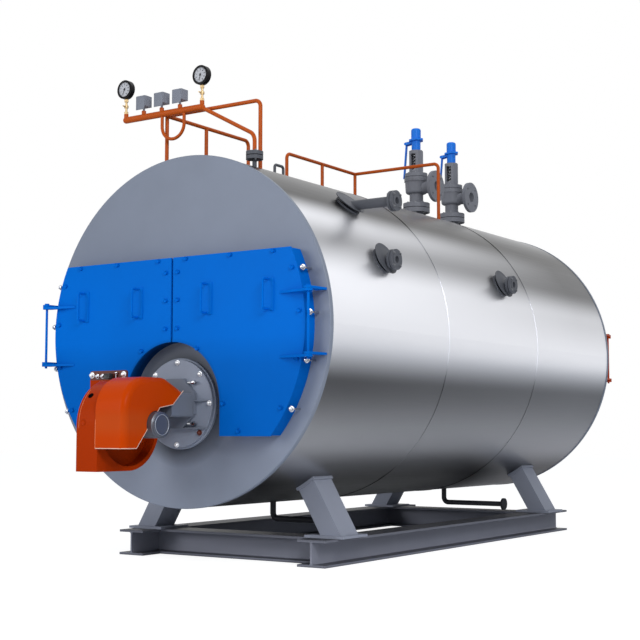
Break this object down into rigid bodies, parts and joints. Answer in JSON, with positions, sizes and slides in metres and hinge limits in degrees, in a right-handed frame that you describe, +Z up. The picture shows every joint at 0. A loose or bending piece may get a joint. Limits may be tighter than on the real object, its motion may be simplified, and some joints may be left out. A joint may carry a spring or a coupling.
{
  "type": "industrial boiler",
  "caption": "Horizontal fire-tube steam boiler on a beam skid, with hinged smoke box doors, a hung burner, gauge manifold and safety valves.",
  "frame": {"origin": "on the floor, at the middle of the front cross beam's underside", "axes": "+Z up, +Y along the drum from the burner end to the rear, +X to the side nozzles"},
  "size_m": [2.214, 5.2013, 3.303],
  "materials": {
    "skid_paint": "dark grey paint",
    "end_plate_paint": "satin grey paint",
    "cladding_sheet": "bright rolled stainless sheet",
    "shell_steel": "plain mill steel",
    "door_paint": "gloss blue paint",
    "orange_paint": "gloss orange paint",
    "gasket_rope": "black rope gasket",
    "burner_grey": "satin grey casting",
    "motor_grey": "grey cast aluminium",
    "bracket_brown": "dark red paint",
    "gauge_case": "black gauge case",
    "gauge_brass": "machined brass",
    "switch_grey": "grey painted box",
    "valve_iron": "grey painted casting",
    "valve_blue": "blue paint",
    "spring_steel": "bright spring steel",
    "drain_black": "black paint"
  },
  "bodies": {
    "root": {"left_side_beam": "skid_paint", "right_side_beam": "skid_paint", "front_cross_beam": "skid_paint", "rear_cross_beam": "skid_paint", "front_left_leg": "skid_paint", "front_right_leg": "skid_paint", "rear_left_leg": "skid_paint", "rear_right_leg": "skid_paint", "front_end_plate": "end_plate_paint", "rear_end_plate": "end_plate_paint", "pressure_shell": "shell_steel", "front_cladding": "cladding_sheet", "middle_cladding": "cladding_sheet", "rear_cladding": "cladding_sheet", "front_smoke_box": "door_paint", "front_door_gasket": "gasket_rope", "front_door_hinges": "door_paint", "rear_smoke_box": "orange_paint", "rear_door_gasket": "gasket_rope", "rear_door_hinges": "orange_paint", "burner_ring": "burner_grey", "burner_plate": "burner_grey", "burner_head": "burner_grey", "fan_housing": "orange_paint", "motor_hood": "orange_paint", "fan_motor": "motor_grey", "actuator_bracket": "bracket_brown", "gauge_manifold": "orange_paint", "manifold_support_pipe": "orange_paint", "steam_sensing_pipe": "orange_paint", "steam_tapping": "valve_iron", "pressure_gauges": "gauge_case", "gauge_cocks": "gauge_brass", "pressure_switches": "switch_grey", "front_guard_rail": "orange_paint", "rear_guard_rail": "orange_paint", "lifting_lug": "valve_iron", "upper_nozzle": "valve_iron", "front_nozzle": "valve_iron", "rear_nozzle": "valve_iron", "front_valve_body": "valve_iron", "front_valve_bonnet": "valve_iron", "front_valve_cap": "valve_blue", "rear_valve_body": "valve_iron", "rear_valve_bonnet": "valve_iron", "rear_valve_cap": "valve_blue", "front_valve_spring": "spring_steel", "rear_valve_spring": "spring_steel", "front_drain": "drain_black", "rear_drain": "drain_black"},
    "front_left_door_leaf": {"front_left_door": "door_paint"},
    "front_right_door_leaf": {"front_right_door": "door_paint"},
    "rear_left_door_leaf": {"rear_left_door": "orange_paint"},
    "rear_right_door_leaf": {"rear_right_door": "orange_paint"},
    "front_valve_lifting_lever": {"front_valve_lever": "valve_blue"},
    "rear_valve_lifting_lever": {"rear_valve_lever": "valve_blue"}
  },
  "joints": [
    {"name": "front_left_door_hinge", "type": "hinge", "parent": "root", "child": "front_left_door_leaf", "pos_m": [-1.04, -0.775, 1.445], "axis": [0, 0, -1], "range_deg": [0, 110]},
    {"name": "front_right_door_hinge", "type": "hinge", "parent": "root", "child": "front_right_door_leaf", "pos_m": [1.04, -0.775, 1.445], "axis": [0, 0, 1], "range_deg": [0, 110]},
    {"name": "rear_left_door_hinge", "type": "hinge", "parent": "root", "child": "rear_left_door_leaf", "pos_m": [-1.04, 3.83, 1.445], "axis": [0, 0, 1], "range_deg": [0, 110]},
    {"name": "rear_right_door_hinge", "type": "hinge", "parent": "root", "child": "rear_right_door_leaf", "pos_m": [1.04, 3.83, 1.445], "axis": [0, 0, -1], "range_deg": [0, 110]},
    {"name": "front_valve_lever_pivot", "type": "hinge", "parent": "root", "child": "front_valve_lifting_lever", "pos_m": [-0.088, 2.329, 3.183], "axis": [0, 1, 0], "range_deg": [0, 25]},
    {"name": "rear_valve_lever_pivot", "type": "hinge", "parent": "root", "child": "rear_valve_lifting_lever", "pos_m": [-0.088, 2.945, 3.183], "axis": [0, 1, 0], "range_deg": [0, 25]}
  ]
}
